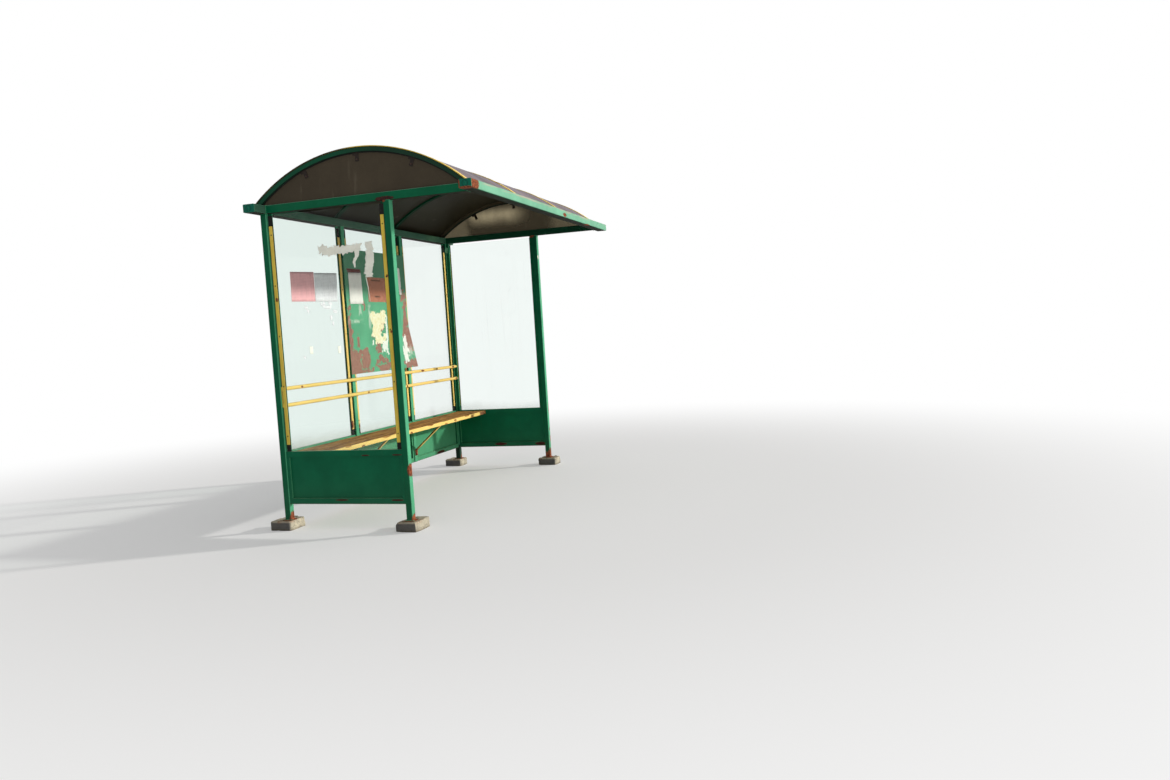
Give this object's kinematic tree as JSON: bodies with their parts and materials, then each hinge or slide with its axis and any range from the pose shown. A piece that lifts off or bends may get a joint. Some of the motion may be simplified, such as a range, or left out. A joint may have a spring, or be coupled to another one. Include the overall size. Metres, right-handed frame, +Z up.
{
  "type": "bus shelter",
  "caption": "Open-fronted bus shelter of green steel tube with glazed walls, low sheet panels, a bench, handrails and a vaulted smoked roof.",
  "frame": {"origin": "on the ground, in the middle of the footprint box", "axes": "+X along the shelter to the right as seen from the open front, -Y towards the open front, +Z up"},
  "size_m": [3.094, 1.763, 2.5848],
  "materials": {
    "concrete": "rough cast concrete, chipped and weathered",
    "green_steel": "sea green paint, chalky, with rust at the joints and feet",
    "green_plastic": "painted tube plugs",
    "yellow_steel": "warm yellow paint, worn through to rust",
    "yellow_strip": "warm yellow paint on flat strip",
    "pane": "toughened glass, dusty, with paper and tape residue",
    "smoked_sheet": "brown smoked sheet, dulled by weather",
    "dark_steel": "dark clips and screws",
    "seal": "black rubber beside the clamping strips",
    "paper": "faded notices, tape and torn paper"
  },
  "bodies": {
    "root": {"footing_front_left": "concrete", "footing_front_right": "concrete", "footing_back_left": "concrete", "footing_back_right": "concrete", "post_front_left": "green_steel", "post_front_right": "green_steel", "post_back_left": "green_steel", "post_back_right": "green_steel", "mullion_left": "green_steel", "mullion_right": "green_steel", "panel_left_end": "green_steel", "panel_right_end": "green_steel", "panel_back_left": "green_steel", "panel_back_middle": "green_steel", "panel_back_right": "green_steel", "glass_left_end": "pane", "glass_right_end": "pane", "glass_back_left": "pane", "glass_back_middle": "pane", "glass_back_right": "pane", "beads_left_end": "yellow_strip", "beads_right_end": "yellow_strip", "beads_back": "yellow_strip", "beam_front": "green_steel", "beam_back": "green_steel", "beam_left": "green_steel", "beam_right": "green_steel", "beam_end_caps": "green_plastic", "rib_left": "green_steel", "rib_inner_left": "green_steel", "rib_inner_right": "green_steel", "rib_right": "green_steel", "roof_sheet_left": "smoked_sheet", "roof_sheet_middle": "smoked_sheet", "roof_sheet_right": "smoked_sheet", "cover_strips": "yellow_strip", "gable_left": "smoked_sheet", "gable_right": "smoked_sheet", "gable_clips": "dark_steel", "handrails": "yellow_steel", "bench_seat": "yellow_steel", "bench_brackets": "yellow_steel", "notice_board": "green_steel"}
  },
  "joints": []
}
